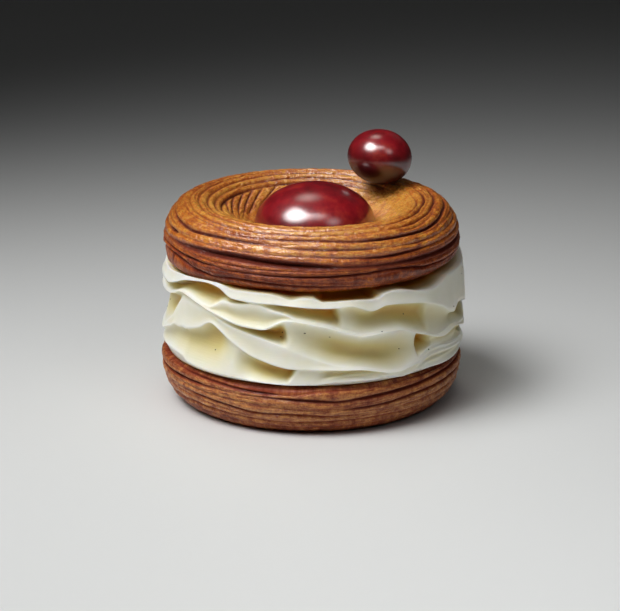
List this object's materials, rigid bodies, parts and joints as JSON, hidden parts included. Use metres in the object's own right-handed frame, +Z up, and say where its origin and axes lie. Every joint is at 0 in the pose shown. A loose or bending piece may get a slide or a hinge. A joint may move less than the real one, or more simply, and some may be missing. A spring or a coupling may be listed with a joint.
{
  "type": "paris-brest pastry",
  "caption": "Split ring of choux pastry with a ruffled cream layer between its halves, a large glazed ball in the hole and a small one on the rim.",
  "frame": {"origin": "centre of the flat underside of the lower choux ring, on the surface the pastry stands on", "axes": "+Z up; the shown front faces -Y and the small ball sits at the back right (+X +Y)"},
  "size_m": [0.0876, 0.0871, 0.0737],
  "materials": {
    "choux_base": "baked choux pastry, red-brown, satin",
    "cream": "piped vanilla cream, warm white, soft satin",
    "choux_top": "baked choux pastry, golden brown, egg-washed and glossy on the shoulder",
    "red_glaze": "deep cherry-red mirror glaze"
  },
  "bodies": {
    "root": {"choux_base": "choux_base", "cream": "cream", "choux_top": "choux_top", "large_glazed_ball": "red_glaze", "small_glazed_ball": "red_glaze"}
  },
  "joints": []
}
